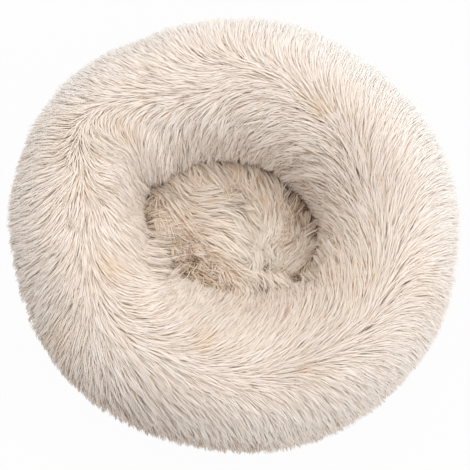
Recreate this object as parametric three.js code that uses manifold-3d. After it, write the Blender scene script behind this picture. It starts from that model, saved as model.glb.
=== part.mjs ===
// Round plush cat bed: a stuffed ring round a sunken seat cushion, both sewn to a dotted anti-slip cloth.
// Millimetres, +Z up. The origin is on the floor under the middle of the ring, and the front of the bed is at -Y.
import * as THREE from "three";
import { mergeVertices } from "three/addons/utils/BufferGeometryUtils.js";
import Module from "manifold-3d";

// Ring: its mean outside diameter and its height, both over the plush. It has settled a little out of round.
const RING_DIAMETER = 486;
const RING_HEIGHT = 160;
const RING_OVAL_SHARE = 0.019;
const RING_OVAL_AXIS_DEG = 160;
const BELLY_HEIGHT_SHARE = 0.45;
const CREST_SHARE = 0.52;

// Nest: the hollow inside the ring, measured where the ring bulges furthest over the seat cushion.
const NEST_DIAMETER = 186;
const NEST_OVAL_SHARE = 0.115;
const NEST_OVAL_AXIS_DEG = 158;
const NEST_SHIFT_X = -5;
const NEST_SHIFT_Y = 4;
const NEST_BULGE_HEIGHT_SHARE = 0.43;

// The ring's closing seam, where the two ends of the plush strip meet, pulls a shallow valley across the crest.
const CLOSING_SEAM_DEG = 150;
const CLOSING_SEAM_WIDTH_DEG = 9;
const CLOSING_SEAM_DEPTH = 4;

// Folds of the nest's wall, where the oval ring bends most. They are pressed into the plush alone, and fade out
// towards the crest and the seat.
const NEST_FOLDS_DEG = [152, -37];
const NEST_FOLD_WIDTH_DEG = 5;
const NEST_FOLD_DEPTH = 6;

// Hems: how far each lower edge of the ring's plush is drawn in under the ring.
const OUTER_TUCK = 36;
const INNER_TUCK = 22;

// Cloths. The plush counts its backing and its pile lying down.
const RING_PLUSH = 12;
const SEAT_PLUSH = 10;
const BASE_CLOTH = 1.2;
const FIT_GAP = 0.3;

// Anti-slip dots, printed on the underside of the base cloth.
const DOT_DIAMETER = 7;
const DOT_HEIGHT = 0.8;
const DOT_PITCH = 34;
const DOT_MARGIN = 6;
const DOT_TAPER_SHARE = 0.8;
const DOT_SIDES = 6;

// Seat cushion: its height in the middle, at its sewn edge, and the width of its rounded shoulder.
const SEAT_HEIGHT = 64;
const SEAT_EDGE_HEIGHT = 46;
const SEAT_SHOULDER = 14;

// The seat's crease, a shallow valley in its plush, in front of its middle, that runs from side to side.
const SEAT_CREASE_X = 8;
const SEAT_CREASE_Y = -37;
const SEAT_CREASE_LENGTH = 64;
const SEAT_CREASE_WIDTH = 32;
const SEAT_CREASE_DEPTH = 5;

// Tapes that bind the raw edges of the ring's hems, and sewing thread.
const TAPE_THICKNESS = 1.4;
const TAPE_HEIGHT = 12;
const THREAD_DIAMETER = 0.8;

// Facets
const AROUND_STEPS = 48;
const ARC_STEPS = 3;
const CROWN_STEPS = 4;
const THREAD_SIDES = 6;

// Heights that the pieces share
const CLOTH_BOTTOM = DOT_HEIGHT;
const CLOTH_TOP = CLOTH_BOTTOM + BASE_CLOTH;
const FLOOR_OF_COVERS = CLOTH_TOP + FIT_GAP;
const BELLY_HEIGHT = RING_HEIGHT * BELLY_HEIGHT_SHARE;
const NEST_BULGE_HEIGHT = RING_HEIGHT * NEST_BULGE_HEIGHT_SHARE;
const THREAD_RADIUS = THREAD_DIAMETER / 2;
const FILL_INSET = RING_PLUSH + THREAD_DIAMETER + 2 * FIT_GAP;

const PLUSH_COLOUR = 0xe9dccb;
const SEAT_COLOUR = 0xd9c3aa;
const FILL_COLOUR = 0xf7f6f2;
const CLOTH_COLOUR = 0xcdbfae;
const TAPE_COLOUR = 0xefe9df;
const THREAD_COLOUR = 0xe6d8c5;

const radians = THREE.MathUtils.degToRad;
const mix = THREE.MathUtils.lerp;

// How much an azimuth has of a valley at a place round the ring, from 0 to 1.
function valleyShare(azimuth, centreDeg, widthDeg) {
  const away = Math.atan2(
    Math.sin(azimuth - radians(centreDeg)),
    Math.cos(azimuth - radians(centreDeg)),
  );
  return Math.exp(-((away / radians(widthDeg)) ** 2));
}

const seamDrop = (azimuth) =>
  CLOSING_SEAM_DEPTH * valleyShare(azimuth, CLOSING_SEAM_DEG, CLOSING_SEAM_WIDTH_DEG);

// How deep the nest's folds are at an azimuth and a height of the wall.
function foldDepth(azimuth, height) {
  const below = (height - SEAT_EDGE_HEIGHT) / (NEST_BULGE_HEIGHT - SEAT_EDGE_HEIGHT);
  const above = (RING_HEIGHT - height) / (RING_HEIGHT - NEST_BULGE_HEIGHT);
  const shares = NEST_FOLDS_DEG.map((deg) => valleyShare(azimuth, deg, NEST_FOLD_WIDTH_DEG));
  return NEST_FOLD_DEPTH * Math.max(...shares) * Math.max(0, Math.min(below, above));
}

function ringRadius(azimuth) {
  const oval = Math.cos(2 * (azimuth - radians(RING_OVAL_AXIS_DEG)));
  return (RING_DIAMETER / 2) * (1 + RING_OVAL_SHARE * oval);
}

function nestRadius(azimuth) {
  const oval = Math.cos(2 * (azimuth - radians(NEST_OVAL_AXIS_DEG)));
  return (NEST_DIAMETER / 2) * (1 + NEST_OVAL_SHARE * oval);
}

const nestCentre = new THREE.Vector2(NEST_SHIFT_X, NEST_SHIFT_Y);

// The places in plan, at one azimuth, of the nest's edge and of the ring's outside.
function edges(azimuth) {
  const way = new THREE.Vector2(Math.cos(azimuth), Math.sin(azimuth));
  return {
    nest: way.clone().multiplyScalar(nestRadius(azimuth)).add(nestCentre),
    outside: way.clone().multiplyScalar(ringRadius(azimuth)),
  };
}

function ringWidth(azimuth) {
  const { nest, outside } = edges(azimuth);
  return nest.distanceTo(outside);
}

// A place in plan by its azimuth and by how far out of the nest's edge it is. It is negative inside the nest.
function plan(azimuth, out) {
  const { nest, outside } = edges(azimuth);
  return out < 0
    ? nestCentre.clone().lerp(nest, 1 + out / nestRadius(azimuth))
    : nest.clone().lerp(outside, out / ringWidth(azimuth));
}

// Points of a quarter ellipse, from one angle to another, round a centre in the section's own plane.
function arc(centre, across, up, fromDeg, toDeg, steps) {
  const points = [];
  for (let i = 0; i <= steps; i++) {
    const angle = radians(mix(fromDeg, toDeg, i / steps));
    points.push([centre[0] + across * Math.cos(angle), centre[1] + up * Math.sin(angle)]);
  }
  return points;
}

// The ring's section at an azimuth, from the outer hem over the crest to the inner hem, drawn in by an inset.
function ringSection(azimuth, inset) {
  const width = ringWidth(azimuth);
  const crest = width * CREST_SHARE;
  const height = RING_HEIGHT - seamDrop(azimuth) - inset;
  const hem = width - OUTER_TUCK;
  const outerLow = [hem, BELLY_HEIGHT];
  const innerLow = [INNER_TUCK, NEST_BULGE_HEIGHT];
  const dropOut = BELLY_HEIGHT - FLOOR_OF_COVERS - inset;
  const dropIn = NEST_BULGE_HEIGHT - FLOOR_OF_COVERS - inset;
  const outerHigh = [crest, BELLY_HEIGHT];
  const innerHigh = [crest, NEST_BULGE_HEIGHT];
  return [
    ...arc(outerLow, OUTER_TUCK - inset, dropOut, -90, 0, ARC_STEPS),
    ...arc(outerHigh, width - crest - inset, height - BELLY_HEIGHT, 0, 90, ARC_STEPS).slice(1),
    ...arc(innerHigh, crest - inset, height - NEST_BULGE_HEIGHT, 90, 180, ARC_STEPS).slice(1),
    ...arc(innerLow, INNER_TUCK - inset, dropIn, 180, 270, ARC_STEPS).slice(1),
  ];
}

// How far out of the nest's edge the ring's lower inside wall is at a height, on its facets, less a clearance.
function wallAt(azimuth, height, clearance) {
  const wall = ringSection(azimuth, -clearance).slice(-ARC_STEPS - 1);
  const above = wall.findLastIndex((point) => point[1] >= height);
  const [from, to] = [wall[above], wall[above + 1]];
  return mix(from[0], to[0], (height - from[1]) / (to[1] - from[1]));
}

// A closed solid from one section per azimuth: a loop of [out, height] points, anticlockwise with out to the right.
// With poles, the section's first and last points are the same for every azimuth, at the middle of the nest.
function swept(sectionAt, poles = false) {
  const positions = [];
  const faces = [];
  const count = sectionAt(0).length;
  for (let i = 0; i < AROUND_STEPS; i++) {
    const azimuth = (2 * Math.PI * i) / AROUND_STEPS;
    for (const [out, height] of sectionAt(azimuth)) {
      const place = plan(azimuth, out);
      positions.push(place.x, place.y, height);
    }
  }
  const at = (i, j) => {
    const atPole = poles && (j === 0 || j === count - 1);
    return (atPole ? 0 : i % AROUND_STEPS) * count + (j % count);
  };
  for (let i = 0; i < AROUND_STEPS; i++) {
    for (let j = 0; j < (poles ? count - 1 : count); j++) {
      const [a, b, c, d] = [at(i, j), at(i + 1, j), at(i + 1, j + 1), at(i, j + 1)];
      if (a !== b) faces.push(a, b, c);
      if (c !== d) faces.push(a, c, d);
    }
  }
  const geometry = new THREE.BufferGeometry();
  geometry.setAttribute("position", new THREE.Float32BufferAttribute(positions, 3));
  geometry.setIndex(faces);
  return poles ? mergeVertices(geometry) : geometry;
}

// The section over the plush, with the folds on its inner side.
function plushSection(azimuth) {
  const crest = ringWidth(azimuth) * CREST_SHARE;
  return ringSection(azimuth, 0).map(([out, height]) => [
    out < crest ? out + foldDepth(azimuth, height) : out,
    height,
  ]);
}

// Plush sleeve of the ring, open underneath between its two hems.
function ringCover() {
  return swept((azimuth) => [
    ...plushSection(azimuth),
    ...ringSection(azimuth, RING_PLUSH).reverse(),
  ]);
}

const outerTapeOut = (azimuth) => ringWidth(azimuth) - OUTER_TUCK - FIT_GAP;
const innerTapeOut = () => INNER_TUCK + FIT_GAP + TAPE_THICKNESS;

// A tape that stands on the base cloth along a hem's raw edge. outAt gives its outer face.
function hemTape(outAt) {
  return swept((azimuth) => [
    [outAt(azimuth) - TAPE_THICKNESS, FLOOR_OF_COVERS],
    [outAt(azimuth), FLOOR_OF_COVERS],
    [outAt(azimuth), FLOOR_OF_COVERS + TAPE_HEIGHT],
    [outAt(azimuth) - TAPE_THICKNESS, FLOOR_OF_COVERS + TAPE_HEIGHT],
  ]);
}

// Loose fibre of the ring. It stands on the base cloth between the two tapes.
function ringFill() {
  const overTape = FLOOR_OF_COVERS + Math.max(TAPE_HEIGHT + FIT_GAP, FILL_INSET);
  return swept((azimuth) => {
    const outer = outerTapeOut(azimuth) - TAPE_THICKNESS - FIT_GAP;
    const inner = innerTapeOut() + FIT_GAP;
    const body = ringSection(azimuth, FILL_INSET).slice(1, -1);
    return [
      [outer, FLOOR_OF_COVERS],
      [outer, overTape],
      ...body.map(([out, height]) => [out, Math.max(height, overTape)]),
      [inner, overTape],
      [inner, FLOOR_OF_COVERS],
    ];
  });
}

// The seat cushion's section from its foot to the middle of its crown, drawn in by an inset. Its side lies along the
// ring's wall, so it turns at the same heights.
function seatSection(azimuth, inset) {
  const shoulderFoot = SEAT_EDGE_HEIGHT - SEAT_SHOULDER;
  const turns = ringSection(azimuth, -FIT_GAP)
    .slice(-ARC_STEPS, -1)
    .map(([, height]) => height)
    .filter((height) => height < shoulderFoot)
    .reverse();
  const side = [FLOOR_OF_COVERS, ...turns, shoulderFoot].map((height) => [
    wallAt(azimuth, height, FIT_GAP) - inset,
    height,
  ]);
  const [top] = side.slice(-1);
  const shoulder = arc(
    [top[0] - SEAT_SHOULDER + inset, shoulderFoot],
    SEAT_SHOULDER - inset,
    SEAT_SHOULDER - inset,
    0,
    90,
    ARC_STEPS - 1,
  ).slice(1);
  const [rim] = shoulder.slice(-1);
  const crown = [];
  for (let i = 1; i <= CROWN_STEPS; i++) {
    const share = 1 - i / CROWN_STEPS;
    const rise = (SEAT_HEIGHT - SEAT_EDGE_HEIGHT) * (1 - share ** 2);
    crown.push([mix(-nestRadius(azimuth), rim[0], share), rim[1] + rise]);
  }
  return [...side, ...shoulder, ...crown];
}

// How deep the seat's crease is at a place in plan.
function creaseDepth(place) {
  const along = (place.x - SEAT_CREASE_X) / (SEAT_CREASE_LENGTH / 2);
  const across = (place.y - SEAT_CREASE_Y) / (SEAT_CREASE_WIDTH / 2);
  return SEAT_CREASE_DEPTH * Math.exp(-(along ** 2) - across ** 2);
}

// Plush top of the seat cushion, open underneath, with its crease.
function seatCover() {
  const creased = (azimuth) => ([out, height]) => [
    out,
    height > SEAT_EDGE_HEIGHT ? height - creaseDepth(plan(azimuth, out)) : height,
  ];
  return swept(
    (azimuth) => [
      ...seatSection(azimuth, SEAT_PLUSH).reverse(),
      ...seatSection(azimuth, 0).map(creased(azimuth)),
    ],
    true,
  );
}

// Loose fibre of the seat cushion, down to the base cloth.
function seatFill() {
  return swept(
    (azimuth) => [[-nestRadius(azimuth), FLOOR_OF_COVERS], ...seatSection(azimuth, SEAT_PLUSH + FIT_GAP)],
    true,
  );
}

// How far a thread lies outside the outer hem, in the wedge between the ring's underside and the base cloth.
function wedgeReach() {
  const drop = BELLY_HEIGHT - FLOOR_OF_COVERS;
  const open = Math.min((THREAD_DIAMETER + FIT_GAP) / drop, 1);
  return OUTER_TUCK * Math.sqrt(1 - (1 - open) ** 2);
}

const baseSeamOut = (azimuth) => ringWidth(azimuth) - OUTER_TUCK + wedgeReach() + THREAD_RADIUS;
const baseEdgeOut = (azimuth) => baseSeamOut(azimuth) + THREAD_DIAMETER;

// A thread that runs all the way round. centreAt gives its centre in the section.
function ringThread(centreAt) {
  return swept((azimuth) =>
    arc(centreAt(azimuth), THREAD_RADIUS, THREAD_RADIUS, 0, 360, THREAD_SIDES).slice(1),
  );
}

// The thread of the ring's closing seam, just inside the plush, from hem to hem.
function closingThread() {
  const step = (2 * Math.PI) / AROUND_STEPS;
  const azimuth = Math.round(radians(CLOSING_SEAM_DEG) / step) * step;
  const along = new THREE.Vector2(-Math.sin(azimuth), Math.cos(azimuth));
  const depth = RING_PLUSH + FIT_GAP + THREAD_RADIUS;
  const strings = arc([depth, 0], THREAD_RADIUS, THREAD_RADIUS, 360, 0, THREAD_SIDES)
    .slice(1)
    .map(([inset, across]) =>
      ringSection(azimuth, inset)
        .slice(1, -1)
        .map(([out, height]) => [...plan(azimuth, out).addScaledVector(along, across), height]),
    );
  const count = strings[0].length;
  const faces = [];
  for (let i = 0; i < THREAD_SIDES; i++) {
    const next = (i + 1) % THREAD_SIDES;
    for (let j = 0; j < count - 1; j++) {
      const [a, b, c, d] = [i * count + j, next * count + j, next * count + j + 1, i * count + j + 1];
      faces.push(a, b, c, a, c, d);
    }
    if (i > 1) {
      faces.push(0, i * count, (i - 1) * count);
      faces.push(count - 1, i * count - 1, (i + 1) * count - 1);
    }
  }
  const geometry = new THREE.BufferGeometry();
  geometry.setAttribute("position", new THREE.Float32BufferAttribute(strings.flat(2), 3));
  geometry.setIndex(faces);
  return geometry;
}

const wasm = await Module();
wasm.setup();

// A closed geometry as a solid for joining.
function solid(geometry) {
  const bare = geometry.clone();
  bare.deleteAttribute("normal");
  bare.deleteAttribute("uv");
  const merged = mergeVertices(bare);
  return new wasm.Manifold(
    new wasm.Mesh({
      numProp: 3,
      vertProperties: merged.attributes.position.array,
      triVerts: new Uint32Array(merged.index.array),
    }),
  );
}

function geometryOf(made) {
  const { vertProperties, triVerts } = made.getMesh();
  const geometry = new THREE.BufferGeometry();
  geometry.setAttribute("position", new THREE.Float32BufferAttribute(vertProperties, 3));
  geometry.setIndex(new THREE.BufferAttribute(triVerts, 1));
  return geometry;
}

// Places of the anti-slip dots: a triangular grid, with one dot at the origin, clear of the cloth's edge.
function dotPlaces() {
  const places = [];
  const rowStep = (DOT_PITCH * Math.sqrt(3)) / 2;
  const reach = Math.ceil(RING_DIAMETER / rowStep);
  for (let row = -reach; row <= reach; row++) {
    for (let column = -reach; column <= reach; column++) {
      const place = new THREE.Vector2(DOT_PITCH * (column + (row % 2) / 2), rowStep * row);
      const azimuth = place.angle();
      const edge = plan(azimuth, baseEdgeOut(azimuth)).length();
      if (place.length() < edge - DOT_MARGIN - DOT_DIAMETER / 2) places.push(place);
    }
  }
  return places;
}

// Base cloth with its dots, as one bonded piece.
function baseCloth() {
  const outline = [];
  for (let i = 0; i < AROUND_STEPS; i++) {
    const azimuth = (2 * Math.PI * i) / AROUND_STEPS;
    outline.push(plan(azimuth, baseEdgeOut(azimuth)));
  }
  const cloth = new THREE.ExtrudeGeometry(new THREE.Shape(outline), {
    depth: BASE_CLOTH,
    bevelEnabled: false,
  }).translate(0, 0, CLOTH_BOTTOM);
  const depth = DOT_HEIGHT + BASE_CLOTH / 2;
  const dot = new THREE.CylinderGeometry(
    DOT_DIAMETER / 2,
    (DOT_DIAMETER / 2) * DOT_TAPER_SHARE,
    depth,
    DOT_SIDES,
  )
    .rotateX(Math.PI / 2)
    .translate(0, 0, depth / 2);
  const dots = dotPlaces().map((place) => solid(dot.clone().translate(place.x, place.y, 0)));
  return geometryOf(wasm.Manifold.union([solid(cloth), ...dots]));
}

const bed = new THREE.Group();

function add(name, geometry, color, roughness = 1) {
  geometry.computeVertexNormals();
  const piece = new THREE.Mesh(
    geometry,
    new THREE.MeshStandardMaterial({ color, roughness, metalness: 0 }),
  );
  piece.name = name;
  bed.add(piece);
}

add("base_cloth", baseCloth(), CLOTH_COLOUR, 0.7);
add("ring_cover", ringCover(), PLUSH_COLOUR);
add("ring_fill", ringFill(), FILL_COLOUR);
add("seat_cover", seatCover(), SEAT_COLOUR);
add("seat_fill", seatFill(), FILL_COLOUR);
add("outer_hem_tape", hemTape(outerTapeOut), TAPE_COLOUR);
add("inner_hem_tape", hemTape(innerTapeOut), TAPE_COLOUR);
add(
  "base_seam_thread",
  ringThread((azimuth) => [baseSeamOut(azimuth), FLOOR_OF_COVERS + THREAD_RADIUS]),
  THREAD_COLOUR,
);
add(
  "seat_seam_thread",
  ringThread((azimuth) => [
    wallAt(azimuth, SEAT_EDGE_HEIGHT, FIT_GAP) - THREAD_RADIUS,
    SEAT_EDGE_HEIGHT,
  ]),
  THREAD_COLOUR,
);
add("closing_seam_thread", closingThread(), THREAD_COLOUR);

export default bed;
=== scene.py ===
"""Looks of a round plush cat bed: a stuffed ring with long swept pile round a sunken seat cushion.

The backing cloths are grids of points that a short cloth simulation puffs up. The pile is real mesh: tapered
strands that root in the backing, lean away from the ring's parting, sweep anticlockwise and gather in locks.
Metres, +Z up, and the front of the bed is at -Y.
"""

import math
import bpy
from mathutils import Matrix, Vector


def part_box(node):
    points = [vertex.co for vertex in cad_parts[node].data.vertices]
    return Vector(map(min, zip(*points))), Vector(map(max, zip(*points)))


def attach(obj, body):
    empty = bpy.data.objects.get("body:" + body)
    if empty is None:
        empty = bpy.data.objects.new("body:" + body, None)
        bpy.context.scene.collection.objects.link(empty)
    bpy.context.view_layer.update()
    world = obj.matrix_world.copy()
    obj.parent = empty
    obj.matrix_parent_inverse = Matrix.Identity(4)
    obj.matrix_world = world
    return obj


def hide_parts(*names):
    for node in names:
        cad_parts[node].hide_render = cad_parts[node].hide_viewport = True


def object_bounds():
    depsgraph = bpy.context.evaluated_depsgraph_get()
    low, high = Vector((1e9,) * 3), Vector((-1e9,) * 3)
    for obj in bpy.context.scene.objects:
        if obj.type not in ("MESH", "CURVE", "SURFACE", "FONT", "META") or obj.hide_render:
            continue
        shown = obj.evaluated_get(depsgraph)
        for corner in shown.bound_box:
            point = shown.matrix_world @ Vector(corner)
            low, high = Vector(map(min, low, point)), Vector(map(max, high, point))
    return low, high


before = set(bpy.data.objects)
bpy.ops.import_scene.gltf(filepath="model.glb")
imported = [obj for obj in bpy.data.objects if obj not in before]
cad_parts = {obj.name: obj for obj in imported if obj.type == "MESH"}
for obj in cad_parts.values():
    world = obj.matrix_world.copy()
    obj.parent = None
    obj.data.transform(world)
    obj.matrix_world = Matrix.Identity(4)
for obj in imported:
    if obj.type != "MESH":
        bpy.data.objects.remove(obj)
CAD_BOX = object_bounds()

from types import SimpleNamespace as Coat

import bpy
import numpy as np
from mathutils import Vector, kdtree

# The solids' sizes
RING_DIAMETER = 0.486
RING_HEIGHT = 0.160
RING_OVAL_SHARE = 0.019
RING_OVAL_AXIS_DEG = 160
BELLY_HEIGHT = 0.45 * RING_HEIGHT
CREST_SHARE = 0.52
NEST_DIAMETER = 0.186
NEST_OVAL_SHARE = 0.115
NEST_OVAL_AXIS_DEG = 158
NEST_SHIFT = np.array([-0.005, 0.004])
NEST_BULGE_HEIGHT = 0.43 * RING_HEIGHT
OUTER_TUCK = 0.036
INNER_TUCK = 0.022
COVER_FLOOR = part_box("ring_cover")[0].z
CLOTH_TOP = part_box("base_cloth")[1].z
SEAT_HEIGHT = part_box("seat_cover")[1].z
DOT_DIAMETER = 0.007
DOT_HEIGHT = 0.0008
DOT_PITCH = 0.034
DOT_MARGIN = 0.006
BASE_SEAM_OUT = 0.00677
BASE_SEAM_HEIGHT = 0.0018
BASE_EDGE_OUT = BASE_SEAM_OUT + 0.0008
TAPE_HEIGHT = 0.012
TAPE_THICKNESS = 0.0014
TAPE_BEVEL = 0.0003
FIT_GAP = 0.0003
THREAD_RADIUS = 0.0004
CLOSING_SEAM_DEG = 150
CLOSING_SEAM_TURNS = (0.25, 3.75)

# The base cloth's rows as shares of its radius, how far its faces lie inside the solid, and its puckers
BASE_SHARES = np.array([1.0, 0.985, 0.96, 0.9, 0.75, 0.5, 0.25, 0.02])
BASE_EASE = 0.0002
PUCKER_HEIGHT = 0.0002
PUCKER_COUNT = 96
PUCKER_REACH = 0.03

# A dot's rows: share of its radius, height
DOT_SIDES = 14
DOT_ROWS = ((1.0, DOT_HEIGHT + BASE_EASE), (0.97, 0.0005), (0.85, 0.00022), (0.6, 0.00006))

# How far the backing lies under the solids' surface, by turns of the ring's section. It comes out at the hems
# and at the seat's seam, where cloth is sewn to cloth. It puffs up by no more than the cap, and the fill lies
# deeper by its slack.
RING_BED = {0: 0.001, 0.2: 0.001, 0.6: 0.0160, 1.4: 0.0165, 2: 0.0125, 2.85: 0.0120, 3.3: 0.001, 4: 0.001}
SEAT_BED = 0.0105
SEAT_SEAM_HEIGHT = 0.038
SEAT_SEAM_INSET = 0.0002
SEAT_SIDE_SHARE = 0.14
SEAT_SOWN = (SEAT_SIDE_SHARE, SEAT_SIDE_SHARE + 0.02)
FILL_SLACK = 0.004
PUFF_CAP = 0.004

# Where the ring is stuffed fuller than its oval, or less full: azimuth, width in degrees, metres. It is so by
# turns of its section round the fullest one.
FULLER = (
    (140, 16, 0.006),
    (153, 8, 0.003),
    (226, 9, 0.002),
    (68, 26, 0.003),
    (25, 14, 0.002),
    (118, 9, -0.003),
    (262, 16, -0.003),
    (322, 12, -0.002),
)
FULLEST_TURN = 0.9
FULL_TURNS = 1.6

# The fibre's lumps, and the gathers and folds that the nest's wall makes where the ring bends most
RING_LUMPS = ((0.0013, 0.13, 12),)
WALL_GATHERS = ((0.0006, 0.035, 11),)
FOLD_AZIMUTHS_DEG = (152, -37)
FOLD_WIDTH_DEG = 5
FOLD_DEPTH = 0.006
FOLD_TURN = 2.9
FOLD_TURNS_WIDE = 0.45

# How soon the seat reaches its height from its seam, by azimuth, its lumps, its hollows: (x, y, reach, reach,
# depth), and its crease from side to side in front of its middle
SEAT_FULLNESS = {0: 2.6, 60: 2.6, 110: 5, 150: 7, 200: 9, 300: 9, 335: 4}
SEAT_LUMPS = ((0.0025, 0.07, 21),)
SEAT_HOLLOWS = ((0.078, 0.036, 0.018, 0.026, 0.014), (0.064, -0.047, 0.009, 0.009, 0.012))
CREASE_PLACE = np.array([0.008, -0.037])
CREASE_REACH = np.array([0.032, 0.016])
CREASE_DEPTH = 0.005

# The pile's strands
STRAND_LENGTH = 0.037
STRAND_WIDTH = 0.00102
WIDTH_SPREAD = (0.15, 0.6, 1.5)
STRAND_RINGS = 5
STRAND_SIDES = 3
STRAND_PROFILE = np.array([0.8, 1, 0.95, 0.68])
STRAND_RIDGE = 0.55
BEND_RANGE = (-16, 20)
LATE_DROOP = 1.5
LATE_TUFT = 1.3
RING_PILES = 18
SEAT_PILES = 2
FLOOR_CLEARANCE = 0.0015
FLOOR_SPREAD = 0.002
TIP_REACH = 0.009
TIP_EASE = 0.004
DARK_TONE = 0.13

PILE_SHEEN = {
    "Roughness": 0.65,
    "Specular IOR Level": 0.15,
    "Sheen Weight": 0.15,
    "Sheen Roughness": 0.5,
    "Sheen Tint": (1, 0.93, 0.84, 1),
}

# A wave texture's period at a scale of 1
WAVE_PERIOD = 0.314

# In a strand's UV map, a side's width, the spans of tone and length, and where they start
UV_SIDE = 0.02
UV_SPAN = (0.92, 0.96)
UV_START = (0.01, 0.02)

# An undercoat and its guard hairs: how many strands, their length as a share, how far they stray, their angle
# off the cloth at root and tip, how close a lock's tips come, how many share a lock, and their tone. The
# undercoat's tone is lower, partly its own colour and partly painted shade where it shows between the guard
# hairs.
# The ring's angles are by share of the way from the nest's edge to the outside, and the last field is 1 for
# the coat that holds the darkened strands of the nest's wall, which are painted shade.
ANGLE_SHARES = (0, 0.35, 0.6, 0.85, 1)
RING_UNDERCOAT = Coat(
    count=118000, seed=41, length=0.86, stray_deg=6, lift_deg=(34, 54, 62, 58, 46),
    stand=(0.05, 0.06, 0.07, 0.14, 0.32), tuft=0.46, lock=8, tone=0.3, dark_inside=1,
)
RING_GUARD = Coat(
    count=44000, seed=46, length=1, stray_deg=4, lift_deg=(40, 62, 70, 66, 50),
    stand=(0.05, 0.07, 0.09, 0.18, 0.48), tuft=0.58, lock=4, tone=0.48, dark_inside=0,
)
SEAT_UNDERCOAT = Coat(
    count=11000, seed=61, length=0.86, stray_deg=9, lift_deg=50, tuft=0.5, lock=5, tone=0.46,
)
SEAT_GUARD = Coat(
    count=4200, seed=66, length=1.15, stray_deg=6, lift_deg=64, tuft=0.66, lock=3, tone=0.66,
)

# Zones of the ring, as the share where each begins and the share where it is full
INSIDE = (0.5, 0.25)
NEST_EDGE = (0.18, 0.02)
OUTSIDE = (0.45, 0.95)
BRINK = (0.8, 0.9)
LOW_EDGE = (0.88, 0.98)
LOCKS_INSIDE = (0.5, 0.2)
LOCKS_OUTSIDE = (0.45, 0.75)

# The same for its wall and its underside by turns of the section, and for a parting by degrees between the
# ways on its two sides
WALL_TURNS = (1.9, 2.9)
UNDERSIDE_TURNS = (1, 0.4)
PARTING_DEG = (35, 65)
PARTING_SHARE = 0.05

# How densely the ring is sown by turns, and by share how long its pile is, how early it lies down and how far
# it follows a convex bend
SOWN_BY_TURN = {0: 0, 0.15: 0.5, 0.5: 0.95, 1.2: 1, 3.25: 1, 3.4: 0, 4: 0}
LENGTH_BY_SHARE = {0.1: 0.88, 0.4: 1}
BOW_BY_SHARE = {0.6: 2.3, 1: 1.2}
HUG_BY_SHARE = {0: 1, 0.3: 0.8, 0.6: 0.5, 1: 0.15}

# How much the ring's pile varies, as (deviation, least, most) or as waves of (height, wavelength, seed)
RING_LENGTH_SPREAD = (0.09, 0.7, 1.2)
RING_STRAY_DEG = ((4, 0.1, 31), (2, 0.04, 32))
RING_LIFT_DEG = ((2.5, 0.05, 43),)
RING_LIFT_SPREAD_DEG = 4
RING_TUFT = ((0.08, 0.04, 45),)
RING_TUFT_SPREAD = 0.13
RING_TUFT_MOST = 0.88
RING_TONE_SPREAD = 0.05
RING_DROOP = 0.1
LEAST_STEEPNESS = 0.25
PARTING_LIFT_DEG = 4
PARTING_BOW = 0.7
PARTING_TONE = 0.1
TOUSLED_LIFT_DEG = 8
UNDERSIDE_STAND = 0.5
LOW_EDGE_DROOP = 0.3
OUTSIDE_TONE = 0.42

# By azimuth, how long the pile is at the nest's edge, as a share, and how far it stands off the wall there.
# It is short beside the right wall's dark groove, and elsewhere it bridges the groove.
EDGE_PILE = {
    0: 0.6, 60: 0.6, 100: 0.85, 135: 0.95, 152: 0.55, 168: 0.6,
    183: 1.3, 203: 1.3, 228: 0.65, 245: 1, 300: 1.3, 325: 0.9,
}
EDGE_STAND = {0: 0, 60: 0.05, 95: 0.35, 135: 0.4, 158: 0.15, 172: 0.2, 200: 0.6, 300: 0.6, 340: 0.1}

# How much more the pile gathers in locks, by azimuth, on the nest's wall and on the outside, and how much
# sparser and more tousled it is on the wall
LOCKED_INSIDE = {0: 0.35, 45: 0.35, 90: 0.35, 135: 0.15, 180: 0, 270: -0.05, 315: 0.2}
LOCKED_OUTSIDE = {0: -0.3, 45: -0.3, 90: -0.25, 135: -0.1, 180: 0.15, 225: 0.3, 270: 0.2, 315: -0.15}
SPARSE_INSIDE = {0: 0.4, 45: 0.4, 90: 0.35, 135: 0.15, 180: 0.05, 270: 0.05, 315: 0.3}
TOUSLED_INSIDE = {0: 1, 45: 1, 90: 1, 135: 0.6, 180: 0, 270: 0, 315: 0.6}

# How the ring is brushed, by azimuth, at five shares from the first to the last of these. 0 is straight into
# the nest, 90 anticlockwise along the ring and 180 straight outwards. The sleeve's ends meet near 150.
BRUSHED_SHARES = (0.1, 0.9)
BRUSHED_DEG = {
    0: (52, 75, 111, 140, 168),
    15: (57, 101, 124, 142, 171),
    30: (78, 88, 128, 145, 175),
    60: (51, 67, 110, 166, 180),
    90: (27, 63, 84, 178, 182),
    105: (45, 95, 118, 156, 174),
    120: (49, 108, 132, 136, 165),
    135: (66, 66, 124, 172, 175),
    150: (30, -22, 2, 155, 142),
    165: (30, -14, 114, 165, 153),
    180: (42, 83, 115, 141, 170),
    195: (72, 65, 101, 145, 175),
    210: (62, 47, 102, 155, 153),
    240: (-6, 21, 66, 90, 106),
    255: (27, 23, 84, 111, 118),
    270: (50, 51, 82, 133, 152),
    300: (53, 76, 88, 144, 159),
    315: (51, 71, 86, 127, 158),
    330: (64, 61, 84, 134, 184),
    345: (53, 62, 96, 153, 174),
}
UNDERSIDE_DEG = 174
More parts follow.
